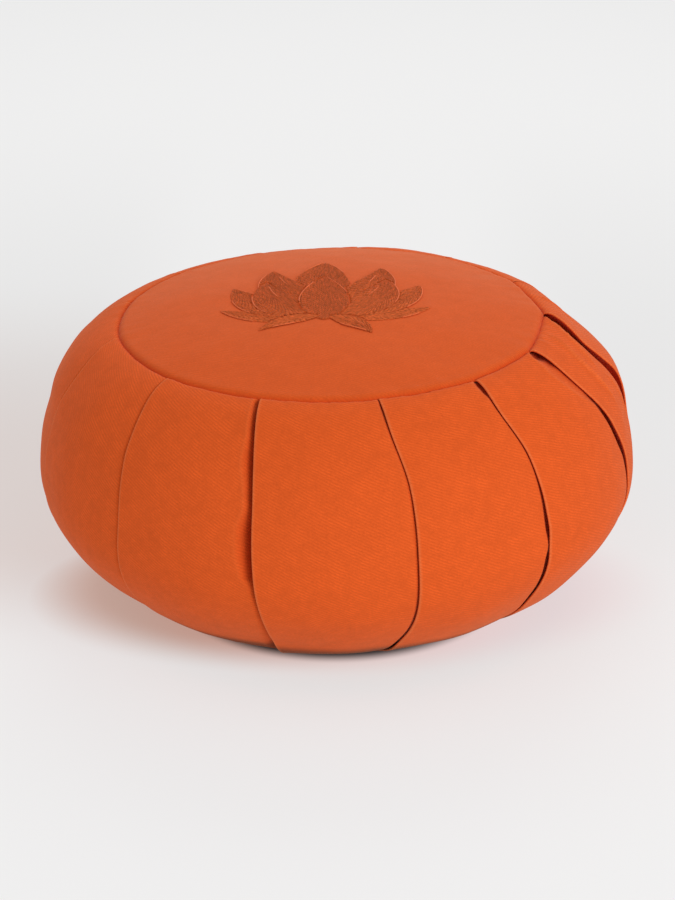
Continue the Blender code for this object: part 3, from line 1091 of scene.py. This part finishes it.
def thread_rings(places, lifts, radius, sides):
    """Rings of points round a thread that lies along places."""
    spine = np.array([on_cloth(x, y, lift) for (x, y), lift in zip(places, lifts)])
    run = unit(np.gradient(spine, axis=0))
    across = unit(np.cross(run, (0.0, 0.0, 1.0)))
    above = np.cross(across, run)
    rings = []
    for turn in np.radians(np.arange(sides) * 360.0 / sides + 90.0):
        rings.append(spine + (across * math.cos(turn) + above * math.sin(turn)) * radius * MM)
    return np.stack(rings, axis=1)


def arch(count):
    """0 at both ends and 1 in the middle, for a count of points."""
    return np.sin(np.pi * np.linspace(0.0, 1.0, count))


def places_on(path, along, reach):
    """The places on a path that lie some way along it."""
    return np.stack([np.interp(reach, along, path[:, k]) for k in (0, 1)], axis=1)


def threads_piece(name, threads):
    """One mesh of many closed threads, each given as its rings and its own shade."""
    points, faces, tones = [], [], []
    for rings, shade in threads:
        first, (count, sides, _) = len(points), rings.shape
        points.extend(rings.reshape(-1, 3).tolist())
        tones.extend([shade] * (count * sides))
        for ring in range(count - 1):
            for n in range(sides):
                a = first + ring * sides + n
                b = first + ring * sides + (n + 1) % sides
                faces.append((a, b, b + sides, a + sides))
        last = first + (count - 1) * sides
        faces.append(tuple(range(first + sides - 1, first - 1, -1)))
        faces.append(tuple(range(last, last + sides)))
    piece = new_piece(name, points, faces, {"shade": tones})
    return piece


# %% Fill the petals with rows of short stitches
PITCH = 0.5  # from one row of stitches to the next
STITCH = 3.4  # the length of one stitch, in millimetres
SHIFT = 0.37  # how far each row's stitches start past its neighbour's, as a share
SHORTEST = 0.9  # a stitch shorter than this is left out
LAYER_LIFT = 0.03  # how much higher each petal's thread lies than the last's
chance = np.random.default_rng(7)


def stitches_of(petal, covers, layer):
    """The filling stitches of one petal, cut where nearer petals cover them."""
    s = np.linspace(0.0, 1.0, 240)
    middle, across, _ = petal_spine(petal, s)
    half = petal_half(petal, s)
    found = []
    for row, offset in enumerate(np.arange(-petal.width / 2, petal.width / 2, PITCH)):
        within = np.flatnonzero(half > abs(offset) + chance.normal(0.0, 0.15))
        if len(within) < 8:
            continue
        path = (middle + across * offset)[within]
        along = walked(path)
        first = -STITCH * ((row * SHIFT) % 1.0)
        for at in np.arange(first, along[-1], STITCH):
            start = max(at + chance.normal(0.0, 0.12), 0.0)
            stop = min(at + STITCH + chance.normal(0.0, 0.12), along[-1])
            if stop - start < SHORTEST:
                continue
            reach = np.linspace(start, stop, max(3, int((stop - start) / STITCH_STEP) + 1))
            places = places_on(path, along, reach)
            if any(inside_petal(cover, places, 0.1).any() for cover in covers):
                continue
            lifts = 0.02 + LAYER_LIFT * layer + STITCH_ARCH * arch(len(reach))
            shade = chance.normal(0.0, 1.0)
            found.append((thread_rings(places, lifts, THREAD / 2, 4), shade))
    return found


filling = []
for index, petal in enumerate(PETALS):
    filling += stitches_of(petal, PETALS[index + 1 :], index)
lotus = threads_piece("lotus_filling", filling)

# %% Lay the paler lines
LINES = table(
    "petal side inset start stop",
    (0, 1, 1.0, 0.55, 0.97),
    (1, -1, 1.0, 0.6, 0.8),
    (2, 1, 1.0, 0.45, 0.75),
    (2, -1, 1.0, 0.72, 0.97),
    (3, -1, 1.0, 0.5, 0.96),
    (4, 1, 1.0, 0.76, 0.98),
    (4, -1, 1.0, 0.7, 0.9),
    (5, 1, 1.0, 0.55, 0.9),
    (5, -1, 0.4, 0.6, 0.8),
    (6, -1, 1.0, 0.6, 0.97),
    (6, 1, 0.35, 0.62, 0.8),
    (7, 1, 1.0, 0.35, 0.7),
    (7, -1, 0.3, 0.6, 0.9),
    (8, -1, 1.0, 0.5, 0.92),
    (8, 1, 0.45, 0.6, 0.8),
    (9, 1, 1.0, 0.4, 0.85),
    (9, -1, 1.0, 0.6, 0.97),
    (10, 1, 1.0, 0.4, 0.8),
    (11, -1, 1.0, 0.3, 0.9),
    (11, 1, 0.2, 0.5, 0.7),
)
LINE_THREAD = 0.56
STEM_STITCH = 2.6  # the length of one stem stitch
STEM_POINTS = 6
STEM_LEAN = 0.2  # how far a stem stitch leans to each side of its line


def line_of(line):
    """Stem stitch along a line of the table: short slanting threads, end to end."""
    petal = PETALS[line.petal]
    covers = PETALS[line.petal + 1 :]
    s = np.linspace(line.start, line.stop, 60)
    middle, across, _ = petal_spine(petal, s)
    path = middle + line.side * line.inset * petal_half(petal, s)[:, None] * across
    along = walked(path)
    found = []
    for at in np.arange(0.0, along[-1] - 1.0, STEM_STITCH * 0.5):
        reach = np.linspace(at, min(at + STEM_STITCH, along[-1]), STEM_POINTS)
        places = places_on(path, along, reach)
        if any(inside_petal(cover, places, -0.3).any() for cover in covers):
            continue
        lean = places[-1] - places[0]
        lean = np.array((-lean[1], lean[0])) / np.linalg.norm(lean)
        places = places + lean * np.linspace(-STEM_LEAN, STEM_LEAN, STEM_POINTS)[:, None]
        lifts = 0.3 + LAYER_LIFT * line.petal + 0.25 * arch(STEM_POINTS)
        found.append((thread_rings(places, lifts, LINE_THREAD / 2, 6), chance.normal(0.0, 1.0)))
    return found


veins = threads_piece("lotus_lines", [thread for line in LINES for thread in line_of(line)])

# %% [markdown]
# ## Embroidery thread
# Embroidery thread is smoother than the cloth, so it shines a little along its length.
# No two stitches look alike, because each lies at its own angle, so each carries a
# number of its own and is a shade darker or paler by it.

# %% Dye the threads
FILLING_DYE = (0.65, 0.126, 0.028)
LINE_DYE = (0.80, 0.17, 0.052)


def embroidery_thread(name, dye, spread):
    """Dyed thread, with each stitch darker or paler by up to a spread."""
    material, nodes, shader = new_material(name)
    place = nodes.add("TexCoord").outputs["Object"]
    twist = nodes.noise(place, 900.0, 2.0, 0.6)
    bright = nodes.math("MULTIPLY_ADD", nodes.attribute("shade"), spread, 1.0)
    bright = nodes.plus(bright, nodes.times(nodes.less(twist, 0.5), 0.5))
    raised = {"Strength": 1.0, "Distance": 0.06 * MM, "Height": twist}
    look = {
        "Base Color": nodes.scaled(dye, nodes.math("MAXIMUM", bright, 0.35)),
        "Normal": nodes.add("Bump", raised).outputs["Normal"],
        "Roughness": 0.6,
        "Specular IOR Level": 0.1,
    }
    nodes.feed(shader, look)
    return material


lotus.data.materials.append(embroidery_thread("brown_thread", FILLING_DYE, 0.13))
veins.data.materials.append(embroidery_thread("pale_thread", LINE_DYE, 0.05))

# %% [markdown]
# ## Floor and light
# A shop photographs such a cushion on a glowing white table, so the floor stays bright
# right up to it. One large soft light stands to the right and in front, and the left
# side of the cushion falls into a soft warm shade. A pale sky fills the rest.
# The table's glow is the floor's own emission. It fades out where the cushion stands
# on it, so a dark line of contact is left.

# %% Lay the floor
PAPER = (0.27, 0.268, 0.266, 1.0)
GLOW = (0.985, 0.985, 0.985)
SHADE_LEFT = (0.69, 0.46, 0.38)  # the glow under the bulge, away from the main light
SHADE_RIGHT = (0.98, 0.87, 0.885)
PAINTED_BOUNCE = (1.10, 0.985, 0.97)  # painted orange bounce light from the cushion on the floor beside it
GLOW_STRENGTH = 0.635
GLOW_ON_CLOTH = 0.86  # the share of the glow that is let fall on the cushion
GLOW_BELOW = 0.35  # and how much of that right under its edge
CONTACT_INNER = 0.094
CONTACT_OUTER = 0.108
FLOOR_RADIUS = 14.0
floor_mesh = bpy.data.meshes.new("floor")
floor_turns = np.radians(np.arange(0, 360, 6))
rim = [(FLOOR_RADIUS * math.cos(t), FLOOR_RADIUS * math.sin(t), 0.0) for t in floor_turns]
floor_mesh.from_pydata(rim, [], [tuple(range(len(rim)))])
floor = add_object("floor", floor_mesh)
paper, nodes, shader = new_material("paper")
fade = nodes.fade
place = nodes.add("TexCoord").outputs["Object"]
spot = nodes.add("SeparateXYZ", {0: place}).outputs
radius = nodes.combined("LENGTH", place, output="Value")

# The shade under the bulge in front, and the wider one on the floor to the left.
oval = nodes.combined("LENGTH", nodes.combined("MULTIPLY", place, (1.0, 1.7, 1.0)), output="Value")
from_left = nodes.combined("DISTANCE", place, (-0.24, 0.12, 0.0), output="Value")
under_bulge = fade(oval, 0.145, 0.215, 1.0, 0.0)
beside = nodes.times(fade(spot["Y"], -0.11, 0.06, 0.0, 0.42), fade(from_left, 0.08, 0.46, 1.0, 0.0))
warm = nodes.mix(fade(spot["X"], 0.10, -0.10, 0.0, 1.0), (*SHADE_RIGHT, 1.0), (*SHADE_LEFT, 1.0))
shaded = nodes.mix(nodes.math("MAXIMUM", under_bulge, beside), (*GLOW, 1.0), warm)

# The glow is a little weaker to both sides and far off, and gone under the cushion.
away = nodes.times(
    fade(nodes.math("ABSOLUTE", spot["X"]), 0.09, 0.20, 0.0, 1.0),
    fade(spot["Y"], -0.15, 0.15, 0.0, 0.085),
)
away = nodes.times(away, fade(radius, 0.35, 1.1, 1.0, 0.0))
shown = nodes.less(fade(spot["Y"], -0.12, 0.5, 1.012, 0.945), away)
shown = nodes.times(fade(radius, CONTACT_INNER, CONTACT_OUTER, 0.0, 1.0), shown)
# Painted bounce light: the floor beside the cushion takes on the cushion's orange.
painted_bounce = nodes.mix(fade(radius, 0.102, 0.145, 1.0, 0.0), (1.0, 1.0, 1.0, 1.0), (*PAINTED_BOUNCE, 1.0))

on_cloth_glow = GLOW_STRENGTH * GLOW_ON_CLOTH
strength = {
    "Value": nodes.add("LightPath").outputs["Is Camera Ray"],
    "To Min": fade(radius, 0.12, 0.175, GLOW_BELOW * on_cloth_glow, on_cloth_glow),
    "To Max": GLOW_STRENGTH,
}
look = {
    "Emission Color": nodes.combined("MULTIPLY", nodes.scaled(shaded, shown), painted_bounce),
    "Emission Strength": nodes.add("MapRange", strength).outputs[0],
    "Base Color": PAPER,
    "Roughness": 0.95,
    "Specular IOR Level": 0.1,
}
nodes.feed(shader, look)
floor.data.materials.append(paper)

# %% Light the scene
world = bpy.data.worlds.new("studio")
world.use_nodes = True
sky = world.node_tree.nodes["Background"].inputs
sky["Color"].default_value = (0.97, 0.98, 1.0, 1.0)
sky["Strength"].default_value = 0.60
bpy.context.scene.world = world


def soft_light(name, place, aim, size, power, color):
    """A large soft light at a place, turned towards an aim."""
    data = bpy.data.lights.new(name, "AREA")
    data.shape = "RECTANGLE"
    data.size, data.size_y = size
    data.energy = power
    data.color = color
    aim_from(add_object(name, data), place, Vector(aim) - Vector(place))


soft_light("key", (1.7, -2.25, 1.25), (0.0, 0.0, 0.1), (1.4, 1.1), 38.0, (1.0, 0.98, 0.97))
soft_light("back", (0.1, 1.3, 1.3), (0.0, 0.0, 0.1), (1.4, 0.8), 9.0, (1.0, 0.98, 0.95))
bpy.context.scene.view_settings.view_transform = "Standard"
print("lights", [o.name for o in bpy.context.scene.objects if o.type == "LIGHT"])
